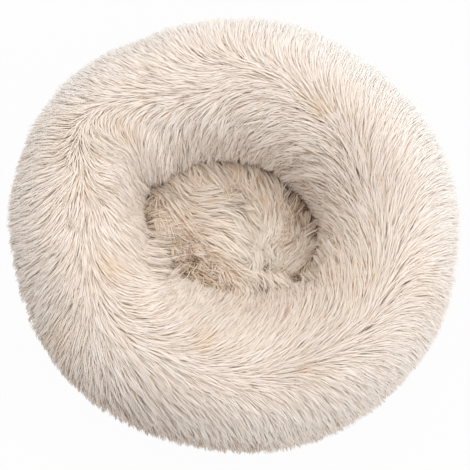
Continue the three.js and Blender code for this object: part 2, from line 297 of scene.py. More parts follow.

# By azimuth, the share of strands painted dark as shade on the nest's wall and at the outer edge, and how
# much the wall, the outside and the outer edge are painted paler where light falls on them and darker where
# they are in shade. Then where the ring is yellower: (x, y, tone, reach)
PAINTED_SHADE_INSIDE = {0: 0.45, 45: 0.34, 90: 0.22, 125: 0.05, 180: 0, 270: 0.04, 315: 0.35, 340: 0.5}
PAINTED_SHADE_EDGE = {0: 0, 130: 0, 160: 0.15, 190: 0.25, 225: 0.35, 270: 0.35, 300: 0.2, 330: 0.05}
INSIDE_PAINTED_LIGHT_AND_SHADE = {0: -0.05, 45: 0.1, 90: 0.16, 125: 0.2, 160: 0.08, 270: -0.1, 315: -0.1, 345: -0.12}
OUTSIDE_PAINTED_LIGHT_AND_SHADE = {0: 0.05, 45: 0.2, 90: 0.05, 135: 0, 180: -0.22, 225: -0.22, 270: -0.18, 315: -0.12}
EDGE_PAINTED_SHADE = {0: 0, 150: -0.1, 190: -0.2, 225: -0.25, 270: -0.25, 300: -0.2, 330: -0.1}
RING_TONES = (
    (-0.134, -0.048, -0.35, 0.02),
    (-0.116, 0.096, -0.35, 0.018),
    (0.092, 0.121, -0.35, 0.012),
    (0.071, -0.163, -0.3, 0.012),
    (-0.037, -0.133, -0.25, 0.014),
    (0.205, -0.079, -0.2, 0.025),
    (-0.186, -0.122, -0.35, 0.016),
    (0.125, -0.06, -0.15, 0.028),
)

# The seat is brushed towards a sink, turned by some degrees and by waves, and in front of the sink one way.
# At some spots it turns more and at others it stands up: (x, y, degrees or 1, reach)
SEAT_SINK = (0.015, -0.026)
SEAT_SINK_REACH = 0.022
SEAT_SINK_PULL = 0.45
SEAT_SINK_DEPTH = 0.004
SEAT_FRONT_REACH = 0.01
SEAT_FRONT_DEG = -64
SEAT_TURN_DEG = 14
SEAT_TURN_WAVES_DEG = ((10, 0.06, 51), (11, 0.022, 52))
SEAT_TURNED = ((-0.04, 0.056, 45, 0.028), (-0.077, 0.026, -40, 0.022), (0.012, 0.05, 18, 0.018))
SEAT_STANDING = (
    (-0.082, 0.044, 0.6, 0.014),
    (-0.006, 0.052, 1, 0.015),
    (-0.064, -0.002, 0.8, 0.017),
    (-0.046, -0.037, 1, 0.021),
    (-0.018, -0.052, 0.9, 0.015),
)
SEAT_STANDING_WAVES = ((0.2, 0.045, 63),)
SEAT_RIM = (0.38, 0.18)
SEAT_RIM_STANDING = {0: 0, 90: 0, 140: 0.2, 185: 0.5, 240: 0.6, 270: 0.4, 310: 0.3}

# What standing does to a strand, and how much the seat's pile varies
STANDING_STRAY_DEG = 70
STANDING_SHORTER = 0.35
STANDING_LIFT_DEG = 24
STANDING_BOW = 0.9
SEAT_BOW = 2.2
SEAT_STAND = 0.1
SEAT_HUG = 0.8
SEAT_DROOP = (0.12, 0.1)
SEAT_LENGTH_SPREAD = (0.12, 0.6, 1.3)
SEAT_LIFT_SPREAD_DEG = 6
SEAT_TUFT_SPREAD = 0.15
SEAT_TUFT_MOST = 0.9
SEAT_TONE_SPREAD = 0.13

# Where the seat's pile is painted paler in its lit middle, and browner and yellower round its rim as painted
# shade under the ring's wall: (x, y, tone, reach)
SEAT_PAINTED_LIGHT_AND_SHADE = (
    (0.016, -0.004, 0.38, 0.036),
    (-0.03, 0.02, 0.15, 0.03),
    (-0.045, 0.066, -0.2, 0.02),
    (-0.005, 0.076, -0.25, 0.02),
    (0.035, 0.064, -0.25, 0.018),
    (0.074, 0.038, -0.25, 0.018),
    (0.066, -0.036, -0.3, 0.02),
    (-0.098, 0.038, -0.45, 0.014),
    (-0.052, -0.04, -0.42, 0.026),
    (-0.01, -0.056, -0.2, 0.022),
    (-0.006, 0.052, -0.2, 0.014),
    (-0.066, 0, -0.3, 0.018),
)

# Where some of the seat's strands are dark, as painted shade in its hollows and under the ring's wall: (x, y,
# share, reach)
SEAT_PAINTED_SHADE = (
    (0.078, 0.038, 0.55, 0.017),
    (0.066, -0.045, 0.5, 0.006),
    (-0.096, 0.034, 0.35, 0.012),
    (-0.052, -0.04, 0.25, 0.022),
    (-0.068, -0.003, 0.3, 0.015),
    (-0.006, 0.052, 0.1, 0.014),
)

# The stage: the picture's size and the bed's width in it, in pixels, how far the pile passes the solids, the
# camera, the floor and the world's light on the bed
PHOTO_SIZE = 470
PHOTO_WIDTH = 448
PILE_PAST_SOLIDS = 0.008
CAMERA_TARGET = Vector((0, -0.004, BELLY_HEIGHT))
VIEW_ELEVATION_DEG = 80
LENS = 110
SENSOR = 36
FLOOR_REACH = 6.0
FLOOR_GREY = 0.48
FLOOR_GLOW = 0.97
WORLD_LIGHT = 0.72

TAU = 2 * math.pi


def unit(vectors):
    """The vectors with length 1."""
    return vectors / np.maximum(np.linalg.norm(vectors, axis=-1, keepdims=True), 1e-12)


def round_the_bed(count):
    """Azimuths at even steps round the bed."""
    return np.arange(count) * TAU / count


def dot(a, b):
    """The dot product of each pair of vectors, as a column."""
    return (a * b).sum(-1, keepdims=True)


def flattened(vectors, normals):
    """The unit vectors that lie in the planes of these normals, closest to the vectors."""
    return unit(vectors - normals * dot(vectors, normals))


def waves(points, wavelength, seed, count=14):
    """A smooth random number at each point, mostly from -1 to 1, with hills half a wavelength wide."""
    rng = np.random.default_rng(seed)
    ways = unit(rng.normal(size=(count, 3))) * (TAU / (wavelength * rng.uniform(0.7, 1.4, (count, 1))))
    return np.sin(points @ ways.T + rng.uniform(0, TAU, count)).sum(-1) * math.sqrt(2 / count)


def waved(points, rows):
    """The sum of such waves, from rows of (height, wavelength, seed)."""
    return sum(height * waves(points, wavelength, seed) for height, wavelength, seed in rows)


def varied(rng, count, spread, least, most):
    """Random factors about 1."""
    return rng.normal(1, spread, count).clip(least, most)


def rising(value, start, full):
    """0 up to the start, 1 from where it is full, and straight between them. full may be below the start."""
    return np.clip((value - start) / (full - start), 0, 1)


def looked_up(table, value):
    """A table of values, looked up between its rows."""
    return np.interp(value, list(table), list(table.values()))


def by_azimuth(table, azimuth):
    """A table of values by degrees, looked up between its rows and round the circle."""
    return np.interp(np.degrees(azimuth) % 360, list(table), list(table.values()), period=360)


def turned_by(angle, other):
    """The shortest turn from one angle to another."""
    return np.angle(np.exp(1j * (other - angle)))


def bump(azimuth, centre_deg, width_deg):
    """A hill from 0 to 1 round the circle."""
    away = np.degrees(turned_by(math.radians(centre_deg), azimuth))
    return np.exp(-((away / width_deg) ** 2))


def fullness(azimuth):
    """How far the stuffing pushes the ring out of its oval."""
    return sum(bump(azimuth, centre, width) * depth for centre, width, depth in FULLER)


# The bed's shape, by azimuth and by turns of its section


def oval(azimuth, diameter, share, axis_deg):
    return diameter / 2 * (1 + share * np.cos(2 * (azimuth - math.radians(axis_deg))))


def outer_radius(azimuth):
    return oval(azimuth, RING_DIAMETER, RING_OVAL_SHARE, RING_OVAL_AXIS_DEG)


def nest_radius(azimuth):
    return oval(azimuth, NEST_DIAMETER, NEST_OVAL_SHARE, NEST_OVAL_AXIS_DEG)


def edges(azimuth):
    """The nest's edge and the ring's outside, in plan."""
    way = np.stack([np.cos(azimuth), np.sin(azimuth)], -1)
    nest = way * nest_radius(azimuth)[..., None] + NEST_SHIFT
    outside = way * outer_radius(azimuth)[..., None]
    return nest, outside


def ring_width(azimuth):
    nest, outside = edges(azimuth)
    return np.linalg.norm(outside - nest, axis=-1)


def placed(azimuth, out, height):
    """Points from how far out of the nest's edge they are. It is negative inside the nest."""
    nest, outside = edges(azimuth)
    over = (out / ring_width(azimuth))[..., None]
    within = (out / nest_radius(azimuth))[..., None]
    plan = np.where(over > 0, nest + (outside - nest) * over, nest + (nest - NEST_SHIFT) * within)
    return np.concatenate([plan, height[..., None]], -1)


def ring_section(azimuth, turn, inset):
    """(out, height) on the ring. turn is 0 at the outer hem, 1 at the belly, 2 at the crest, 3 at the nest's
    bulge and 4 at the inner hem."""
    width = ring_width(azimuth)
    crest = width * CREST_SHARE
    levels = [COVER_FLOOR, BELLY_HEIGHT, RING_HEIGHT, NEST_BULGE_HEIGHT, COVER_FLOOR]
    quarter = np.clip(np.floor(turn), 0, 3).astype(int)
    centre_out = np.choose(quarter, [width - OUTER_TUCK, crest, crest, INNER_TUCK])
    centre_up = np.choose(quarter, [BELLY_HEIGHT, BELLY_HEIGHT, NEST_BULGE_HEIGHT, NEST_BULGE_HEIGHT])
    across = np.choose(quarter, [OUTER_TUCK, width - crest, crest, INNER_TUCK])
    rise = np.abs(np.diff(levels))[quarter]
    angle = (turn - 1) * math.pi / 2
    return centre_out + (across - inset) * np.cos(angle), centre_up + (rise - inset) * np.sin(angle)


def ring_grid(around, rows, slack=0.0):
    """The ring's cloth as a grid of points, with the stuffing's lumps and the folds of the nest's wall."""
    azimuth, turn = np.meshgrid(round_the_bed(around), np.linspace(0, 4, rows), indexing="ij")
    points = placed(azimuth, *ring_section(azimuth, turn, looked_up(RING_BED, turn) + slack))
    full = fullness(azimuth) * np.clip(FULL_TURNS - np.abs(turn - FULLEST_TURN), 0, 1)
    points[..., :2] += unit(points[..., :2]) * full[..., None]
    cloth = Cloth(points)
    wall = np.exp(-(((turn - FOLD_TURN) / FOLD_TURNS_WIDE) ** 2))
    folds = sum(bump(azimuth, centre, FOLD_WIDTH_DEG) for centre in FOLD_AZIMUTHS_DEG) * FOLD_DEPTH
    lumps = waved(points, RING_LUMPS) * np.sin(turn / 4 * math.pi)
    return points + cloth.normals * (lumps + (waved(points, WALL_GATHERS) - folds) * wall)[..., None]


def wall_out(height):
    """How far out of the nest's edge the ring's wall is, at a height under its bulge."""
    drop = np.clip((NEST_BULGE_HEIGHT - height) / (NEST_BULGE_HEIGHT - COVER_FLOOR), 0, 1)
    return INNER_TUCK * (1 - np.sqrt(1 - drop**2))


def seat_grid(around, rows, slack=0.0):
    """The seat cushion's cloth as a grid of points, from its foot to the middle of its crown."""
    azimuth, share = np.meshgrid(round_the_bed(around), np.linspace(0, 1, rows), indexing="ij")
    height = COVER_FLOOR + np.clip(share / SEAT_SIDE_SHARE, 0, 1) * (SEAT_SEAM_HEIGHT - COVER_FLOOR)
    side = wall_out(height) - RING_BED[4] - slack
    inward = np.clip((share - SEAT_SIDE_SHARE) / (1 - SEAT_SIDE_SHARE), 0, 1)
    out = side + (-nest_radius(azimuth) - side) * inward
    top = SEAT_HEIGHT - SEAT_BED - slack
    crown = (top - SEAT_SEAM_HEIGHT) * (1 - (1 - inward) ** by_azimuth(SEAT_FULLNESS, azimuth))
    points = placed(azimuth, out, height + crown)
    away = (points[..., :2] - CREASE_PLACE) / CREASE_REACH
    points[..., 2] -= CREASE_DEPTH * np.exp(-(away**2).sum(-1)) * (inward > 0)
    for x, y, reach, along, depth in SEAT_HOLLOWS:
        hollow = np.exp(-(((points[..., 0] - x) / reach) ** 2) - ((points[..., 1] - y) / along) ** 2)
        points[..., 2] -= depth * hollow * rising(inward, 0, 1 / 6)
    points[..., 2] += waved(points, SEAT_LUMPS) * rising(inward, 0, 1 / 3) * rising(inward, 1, 2 / 3)
    return points


class Cloth:
    """A grid of points that closes round the bed in its first index and is looked up between its points."""

    def __init__(self, points):
        self.points = points
        round_way = np.roll(points, -1, 0) - np.roll(points, 1, 0)
        up_way = np.gradient(points, axis=1)
        self.normals = unit(np.cross(round_way, up_way))
        if np.linalg.norm(round_way[:, -1], axis=-1).max() < 1e-6:
            self.normals[:, -1] = (0, 0, 1)
        turn_round = np.roll(self.normals, -1, 0) - np.roll(self.normals, 1, 0)
        turn_up = np.gradient(self.normals, axis=1)
        self.bend_round = dot(turn_round, round_way) / np.maximum(dot(round_way, round_way), 1e-9)
        self.bend_up = dot(turn_up, up_way) / np.maximum(dot(up_way, up_way), 1e-9)
        self.areas = np.linalg.norm(np.cross(round_way / 2, up_way), axis=-1)

    def look_up(self, values, places):
        """Values of the grid between its points. places are pairs of grid indices."""
        a, u = places.T
        a0 = np.floor(a).astype(int)
        u0 = np.clip(np.floor(u).astype(int), 0, self.points.shape[1] - 2)
        fa, fu = (a - a0)[:, None], (u - u0)[:, None]
        a0, a1 = a0 % len(self.points), (a0 + 1) % len(self.points)
        low = values[a0, u0] * (1 - fa) + values[a1, u0] * fa
        high = values[a0, u0 + 1] * (1 - fa) + values[a1, u0 + 1] * fa
        return low * (1 - fu) + high * fu

    def sown(self, count, density, seed):
        """Random places in order round the bed, as many to an area as the density of its grid point asks."""
        rng = np.random.default_rng(seed)
        weights = (self.areas * density).ravel()
        cells = rng.choice(weights.size, count, p=weights / weights.sum())
        places = np.stack(np.unravel_index(cells, self.areas.shape), -1) + rng.uniform(-0.5, 0.5, (count, 2))
        places[:, 1] = np.clip(places[:, 1], 0, self.points.shape[1] - 1.001)
        return places[np.argsort(places[:, 0])]


def linked(name, data):
    made = bpy.data.objects.new(name, data)
    bpy.context.scene.collection.objects.link(made)
    return made


def mesh_object(name, points, faces, material, smooth=True):
    mesh = bpy.data.meshes.new(name)
    mesh.from_pydata(points, [], faces)
    if smooth:
        mesh.shade_smooth()
    if material:
        mesh.materials.append(material)
    return linked(name, mesh)


def piece(name, points, faces, material):
    made = mesh_object(name, points, faces, material)
    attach(made, "root")
    return made


def grid_faces(around, rows, closed_rows=False):
    """Quads of a grid that closes round in its first index, facing as its normals do."""
    a, u = np.meshgrid(np.arange(around), np.arange(rows if closed_rows else rows - 1), indexing="ij")
    a1, u1 = (a + 1) % around, (u + 1) % rows
    return np.stack([a * rows + u, a1 * rows + u, a1 * rows + u1, a * rows + u1], -1).reshape(-1, 4).tolist()


def grid_object(name, points, material, closed_rows=False):
    faces = grid_faces(*points.shape[:2], closed_rows)
    return piece(name, points.reshape(-1, 3).tolist(), faces, material)


def stitched(part, path, side, dip, stitch):
    """A seam's thread in running stitches along a path. It goes to and fro through the cloth along dip, and
    side is square to both. A path that doesn't end where it starts gets closed ends."""
    loop = np.linalg.norm(path[0] - path[-1]) < 3 * np.linalg.norm(path[1] - path[0])
    steps = np.linalg.norm(np.diff(path, axis=0), axis=-1)
    along = np.concatenate([[0], np.cumsum(steps)])
    length = along[-1] + (np.linalg.norm(path[0] - path[-1]) if loop else 0)
    phase = along / length * round(length / stitch) * math.pi
    path = path + dip * np.tanh(3 * np.sin(phase))[:, None]
    ways = np.roll(path, -1, 0) - np.roll(path, 1, 0) if loop else np.gradient(path, axis=0)
    up = unit(np.cross(unit(ways), side))
    sides = 6
    angles = np.arange(sides) * TAU / sides
    around = side[:, None] * np.cos(angles)[None, :, None] + up[:, None] * np.sin(angles)[None, :, None]
    rings = path[:, None] + around * THREAD_RADIUS
    count = len(rings)
    a, u = np.meshgrid(np.arange(count if loop else count - 1), np.arange(sides), indexing="ij")
    here, there = a * sides, (a + 1) % count * sides
    u1 = (u + 1) % sides
    faces = np.stack([here + u, here + u1, there + u1, there + u], -1).reshape(-1, 4).tolist()
    if not loop:
        faces += [list(range(sides - 1, -1, -1)), list(range((count - 1) * sides, count * sides))]
    thread = piece(f"{part}_stitches", rings.reshape(-1, 3).tolist(), faces, THREAD)
    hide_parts(f"{part}_seam_thread")


def puffed(points, pressure, cap, frames=14):
    """The grid after its stuffing has pushed it out. Its first and last rows are sewn down, and no point
    moves past the cap."""
    around, rows = points.shape[:2]
    cloth = mesh_object("puff", points.reshape(-1, 3).tolist(), grid_faces(around, rows), None)
    sewn = cloth.vertex_groups.new(name="sewn")
    sewn.add([a * rows + u for a in range(around) for u in (0, rows - 1)], 1.0, "REPLACE")
    modifier = cloth.modifiers.new("Cloth", "CLOTH")
    modifier.settings.vertex_group_mass = "sewn"
    modifier.settings.quality = 4
    modifier.settings.use_pressure = True
    modifier.settings.uniform_pressure_force = pressure
    modifier.settings.effector_weights.gravity = 0
    modifier.point_cache.frame_end = frames
    scene = bpy.context.scene
    for number in range(1, frames + 1):
        scene.frame_set(number)
    evaluated = cloth.evaluated_get(bpy.context.evaluated_depsgraph_get())
    moved = np.empty(len(cloth.data.vertices) * 3)
    evaluated.data.vertices.foreach_get("co", moved)
    scene.frame_set(1)
    bpy.data.objects.remove(cloth)
    shift = moved.reshape(points.shape) - points
    far = np.linalg.norm(shift, axis=-1, keepdims=True)
    return points + shift * np.minimum(1, cap / np.maximum(far, 1e-9))


# Strands


def grown(cloth, places, base, angle_at, length, lift, bow, stand, hug, droop, tuft, coat):
    """Centre lines of strands, as strands by rings by 3, their normals and the leader of each one's lock.

    angle_at gives each strand's way along the cloth from where its tip is, as an angle from base. lift is its
    angle off the cloth at the root beyond stand, which is its angle at the tip, bow how early it lies down
    between the two, hug how far it follows a convex bend and droop how far gravity turns its tip down. tuft,
    from 0 to 1, is how close a lock's tips come.
    """
    rng = np.random.default_rng(coat.seed + 2)
    count = len(places)
    segments = STRAND_RINGS - 1
    roots = cloth.look_up(cloth.points, places)
    normals = unit(cloth.look_up(cloth.normals, places))
    base = flattened(base, normals)
    across = np.cross(normals, base)
    bend_up = cloth.look_up(cloth.bend_up, places)
    bend_round = cloth.look_up(cloth.bend_round, places)
    step = (length / segments)[:, None]
    points = [roots]
    risen = np.zeros((count, 1))
    for segment in range(segments):
        share = (segment + 0.5) / segments
        angle = angle_at(points[-1])[:, None]
        flat = base * np.cos(angle) + across * np.sin(angle)
        up_share = np.cos(angle) ** 2
        bend = np.clip(bend_up * up_share + bend_round * (1 - up_share), *BEND_RANGE)
        risen = risen + np.where(bend > 0, hug[:, None], 1.0) * bend * step
        rise = (lift * (1 - share) ** bow + stand)[:, None] - risen
        way = flat * np.cos(rise) + normals * np.sin(rise)
        way = unit(way - np.array([0, 0, 1.0]) * droop[:, None] * share**LATE_DROOP)
        points.append(points[-1] + way * step)
    lines = np.stack(points, 1)
    leaders = rng.choice(count, max(1, count // coat.lock), replace=False)
    tree = kdtree.KDTree(len(leaders))
    for index, leader in enumerate(leaders):
        tree.insert(roots[leader], index)
    tree.balance()
    nearest = leaders[[tree.find(root)[1] for root in roots]]
    pull = tuft[:, None] * np.linspace(0, 1, STRAND_RINGS)[None] ** LATE_TUFT
    lines = lines + (lines[nearest] - lines) * pull[..., None]
    low = FLOOR_CLEARANCE + FLOOR_SPREAD * rng.random((count, 1))
    lines[..., 2] = np.maximum(lines[..., 2], low)
    return reined(lines), normals, nearest


def reined(lines):
    """The strands, with their tips kept within reach of the ring's outside."""
    azimuth = np.arctan2(lines[..., 1], lines[..., 0])
    limit = outer_radius(azimuth) + TIP_REACH - TIP_EASE + fullness(azimuth)
    out = np.linalg.norm(lines[..., :2], axis=-1)
    over = np.maximum(out - limit, 0)
    eased = np.where(over > 0, limit + TIP_EASE * (1 - np.exp(-over / TIP_EASE)), out)
    lines[..., :2] *= (eased / np.maximum(out, 1e-9))[..., None]
    return lines


def strand_template():
    """Corner indices, face starts and UVs of one strand: quads along its sides, a tip and a closed root."""
    segments = STRAND_RINGS - 1
    tip = STRAND_SIDES * segments
    faces, uvs = [[0, 1, 2]], [[(0.0, 0.0), (2 * UV_SIDE, 0.0), (UV_SIDE, UV_SIDE / 2)]]
    for side in range(STRAND_SIDES):
        other = (side + 1) % STRAND_SIDES
        left, right = side * UV_SIDE, side * UV_SIDE + UV_SIDE
        for ring in range(segments - 1):
            here, there = STRAND_SIDES * ring, STRAND_SIDES * (ring + 1)
            low, high = ring / segments, (ring + 1) / segments
            faces.append([here + side, there + side, there + other, here + other])
            uvs.append([(left, low), (left, high), (right, high), (right, low)])
        here = tip - STRAND_SIDES
        low = (segments - 1) / segments
        faces.append([here + side, tip, here + other])
        uvs.append([(left, low), (left + UV_SIDE / 2, 1.0), (right, low)])
    corners = np.array([corner for face in faces for corner in face])
    starts = np.cumsum([0] + [len(face) for face in faces[:-1]])
    return corners, starts, np.array([uv for face in uvs for uv in face])


def sharpen_sides(mesh, per_strand):
    """Marks the strands' two long lower edges sharp, so that the upper side is smooth only over its ridge."""
    ends = np.empty(len(mesh.edges) * 2, np.int32)
    mesh.edges.foreach_get("vertices", ends)
    first, second = np.sort(ends.reshape(-1, 2) % per_strand, 1).T
    along = (second - first == STRAND_SIDES) | (second == per_strand - 1)
    sharp = along & (first % STRAND_SIDES != 1)
    mesh.attributes.new("sharp_edge", "BOOLEAN", "EDGE").data.foreach_set("value", sharp)


def strand_object(name, lines, normals, width, tone, material):
    """One mesh of closed, tapered, three-sided strands. Its UV map holds each strand's tone across and its
    length up."""
    count = len(lines)
    ways = unit(np.gradient(lines, axis=1))
    sides = unit(np.cross(ways, normals[:, None]))
    tops = np.cross(sides, ways)
    half = (width[:, None] * STRAND_PROFILE[None] / 2)[..., None]
    centres, sides, tops = lines[:, :-1], sides[:, :-1], tops[:, :-1]
    ridge = centres + tops * half * STRAND_RIDGE
    rings = np.stack([centres + sides * half, ridge, centres - sides * half], 2)
    points = np.concatenate([rings.reshape(count, -1, 3), lines[:, -1:]], 1)
    corners, starts, uvs = strand_template()
    per_strand = points.shape[1]
    mesh = bpy.data.meshes.new(name)
    mesh.vertices.add(count * per_strand)
    mesh.vertices.foreach_set("co", points.astype(np.float32).ravel())
    mesh.loops.add(count * len(corners))
    offsets = np.arange(count)[:, None]
    mesh.loops.foreach_set("vertex_index", (corners[None] + offsets * per_strand).astype(np.int32).ravel())
    mesh.polygons.add(count * len(starts))
    mesh.polygons.foreach_set("loop_start", (starts[None] + offsets * len(corners)).astype(np.int32).ravel())
    mesh.update(calc_edges=True)
    mesh.shade_smooth()
    sharpen_sides(mesh, per_strand)
    layer = mesh.uv_layers.new(name="OFBake")
    across = np.stack([tone * UV_SPAN[0], np.zeros(count)], -1)[:, None]
    placed_uvs = uvs[None] * (1, UV_SPAN[1]) + across + UV_START
    layer.data.foreach_set("uv", placed_uvs.astype(np.float32).ravel())
    mesh.materials.append(material)
    return linked(name, mesh)


# Materials


class Nodes:
    """Short calls for the nodes of a material or world."""

    def __init__(self, owner):
        owner.use_nodes = True
        self.owner = owner
        self.tree = owner.node_tree
        self.shader = self.tree.nodes.get("Principled BSDF")

    def add(self, kind, **values):
        node = self.tree.nodes.new(kind)
        for key, value in values.items():
            if hasattr(node, key):
                setattr(node, key, value)
            else:
                node.inputs[key].default_value = value
        return node

    def link(self, source, target):
        self.tree.links.new(source, target)

    def ramp(self, source, stops):
        node = self.add("ShaderNodeValToRGB")
        elements = node.color_ramp.elements
        while len(elements) < len(stops):
            elements.new(0.5)
        for element, (place, colour) in zip(elements, stops):
            element.position = place
            element.color = (*colour, 1)
        self.link(source, node.inputs[0])
        return node.outputs[0]

    def seen_by(self, first, *others):
        """1 for these kinds of rays and 0 for all others."""
        path = self.add("ShaderNodeLightPath")
        output = path.outputs[first]
        for other in others:
            either = self.add("ShaderNodeMath", operation="MAXIMUM")
            self.link(output, either.inputs[0])
            self.link(path.outputs[other], either.inputs[1])
            output = either.outputs[0]
        return output

    def surfaced(self, colour, height, strength, distance, roughness):
        """The material, with this colour and a bump of this height."""
        bumped = self.add("ShaderNodeBump", Strength=strength, Distance=distance)
        self.link(colour, self.shader.inputs["Base Color"])
        self.link(height, bumped.inputs["Height"])
        self.link(bumped.outputs[0], self.shader.inputs["Normal"])
        self.shader.inputs["Roughness"].default_value = roughness
        return self.owner


def material_nodes(name):
    return Nodes(bpy.data.materials.new(name))


def pile_material(name, root, middle, tip, tones):
    """Long pile: darker at the root, partly its own colour and partly painted shade deep in the pile, paler
    at the tip, and each strand in its own tone. The lowest tones give the darkened strands, which are painted
    shade.
    """
    nodes = material_nodes(name)
    uv = nodes.add("ShaderNodeUVMap", uv_map="OFBake")
    split = nodes.add("ShaderNodeSeparateXYZ")
    nodes.link(uv.outputs[0], split.inputs[0])
    along = nodes.ramp(split.outputs[1], [(0.0, root), (0.45, middle), (1.0, tip)])
    tone = nodes.ramp(split.outputs[0], tones)
    mix = nodes.add("ShaderNodeMix", data_type="RGBA", blend_type="MULTIPLY")
    mix.inputs[0].default_value = 1.0
    nodes.link(along, mix.inputs[6])
    nodes.link(tone, mix.inputs[7])
    nodes.link(mix.outputs[2], nodes.shader.inputs["Base Color"])
    for socket, value in PILE_SHEEN.items():
        nodes.shader.inputs[socket].default_value = value
    return nodes.owner


def cloth_material(name, first, second, scale, strength=0.3, roughness=0.85):
    """Cloth whose colour and surface vary at one scale, in metres."""
    nodes = material_nodes(name)
    place = nodes.add("ShaderNodeTexCoord")
    noise = nodes.add("ShaderNodeTexNoise", Scale=1 / scale, Detail=4.0, Roughness=0.6)
    nodes.link(place.outputs["Object"], noise.inputs["Vector"])
    colour = nodes.ramp(noise.outputs["Fac"], [(0.3, first), (0.7, second)])
    return nodes.surfaced(colour, noise.outputs["Fac"], strength, scale / 4, roughness)


def woven_material(name, first, second, pitch):
    """Plain weave: two crossed sets of yarns, with a little colour from yarn to yarn."""
    nodes = material_nodes(name)
    place = nodes.add("ShaderNodeTexCoord")
    heights = []
    scale = WAVE_PERIOD / pitch
    for direction in ("X", "Y"):
        wave = nodes.add("ShaderNodeTexWave", bands_direction=direction, Scale=scale, Distortion=0.4)
        nodes.link(place.outputs["Object"], wave.inputs["Vector"])
        heights.append(wave.outputs["Fac"])
    weave = nodes.add("ShaderNodeMath", operation="MULTIPLY")
    nodes.link(heights[0], weave.inputs[0])
    nodes.link(heights[1], weave.inputs[1])
    noise = nodes.add("ShaderNodeTexNoise", Scale=60.0, Detail=3.0)
    nodes.link(place.outputs["Object"], noise.inputs["Vector"])
    shade = nodes.add("ShaderNodeMath", operation="MULTIPLY_ADD")
    nodes.link(weave.outputs[0], shade.inputs[0])
    shade.inputs[1].default_value = 0.5
    nodes.link(noise.outputs["Fac"], shade.inputs[2])
    colour = nodes.ramp(shade.outputs[0], [(0.3, first), (1.0, second)])
    return nodes.surfaced(colour, weave.outputs[0], strength=0.4, distance=pitch / 3, roughness=0.8)


# The ring's pile: its root colour is partly painted shade between the strands, and its first tone stop
# colours the strands painted dark as shade
RING_PILE = pile_material(
    "ring_pile",
    (0.91, 0.72, 0.60),
    (0.99, 0.955, 0.92),
    (0.99, 0.975, 0.96),
    [
        (0.08, (0.62, 0.48, 0.39)),
        (0.13, (0.935, 0.795, 0.65)),
        (0.35, (0.91, 0.825, 0.745)),
        (0.6, (0.98, 0.91, 0.85)),
        (0.95, (0.985, 1.0, 1.0)),
    ],
)
# The seat's pile: its root colour is partly painted shade between the strands, and its first tone stop
# colours the strands painted dark as shade
SEAT_PILE = pile_material(
    "seat_pile",
    (0.76, 0.49, 0.36),
    (0.99, 0.89, 0.765),
    (0.985, 0.91, 0.83),
    [
        (0.08, (0.60, 0.47, 0.38)),
        (0.13, (0.92, 0.84, 0.70)),
        (0.32, (0.90, 0.78, 0.71)),
        (0.5, (0.97, 0.94, 0.915)),
        (0.9, (1.0, 1.0, 1.0)),
    ],
)
# The backing's brown is partly its own colour and partly painted shade, the warm dark of the deep gaps
# between the strands
BACKING_PAINTED_SHADE = cloth_material("plush_backing", (0.68, 0.49, 0.38), (0.77, 0.58, 0.46), 0.004)
FIBRE = cloth_material("fibre_fill", (0.86, 0.85, 0.82), (0.93, 0.92, 0.90), 0.008)
WEAVE = woven_material("anti_slip_cloth", (0.60, 0.53, 0.44), (0.72, 0.65, 0.56), 0.0016)
RUBBER = cloth_material(
    "clear_rubber", (0.74, 0.72, 0.66), (0.80, 0.78, 0.72), 0.003, strength=0.05, roughness=0.35
)
TAPE = woven_material("binding_tape", (0.78, 0.74, 0.68), (0.87, 0.83, 0.77), 0.0008)
THREAD = cloth_material("sewing_thread", (0.74, 0.66, 0.55), (0.84, 0.76, 0.65), 0.0012)


# Ring, seat and base


def plan_place(points):
    """Each point's azimuth about the nest and its share of the way from the nest's edge to the outside."""
    azimuth = np.arctan2(points[:, 1], points[:, 0])
    for _ in range(3):
        nest, outside = edges(azimuth)
        across = unit(outside - nest)
        off = (points[:, 0] - nest[:, 0]) * -across[:, 1] + (points[:, 1] - nest[:, 1]) * across[:, 0]
        azimuth = azimuth + off / np.maximum(np.linalg.norm(points[:, :2], axis=-1), 0.02)
    nest, outside = edges(azimuth)
    return azimuth, ((points[:, :2] - nest) * unit(outside - nest)).sum(-1) / ring_width(azimuth)


def brushed_angle(azimuth, share):
    """How the ring is brushed at these places, in radians."""
    rows = len(BRUSHED_DEG[0])
    place = rising(share, *BRUSHED_SHARES) * (rows - 1)
    low = np.minimum(place.astype(int), rows - 2)
    tables = [{degrees: row[i] for degrees, row in BRUSHED_DEG.items()} for i in range(rows)]
    columns = np.stack([by_azimuth(table, azimuth) for table in tables], -1)
    here = np.take_along_axis(columns, low[:, None], 1)[:, 0]
    there = np.take_along_axis(columns, low[:, None] + 1, 1)[:, 0]
    return np.radians(here + (there - here) * (place - low))


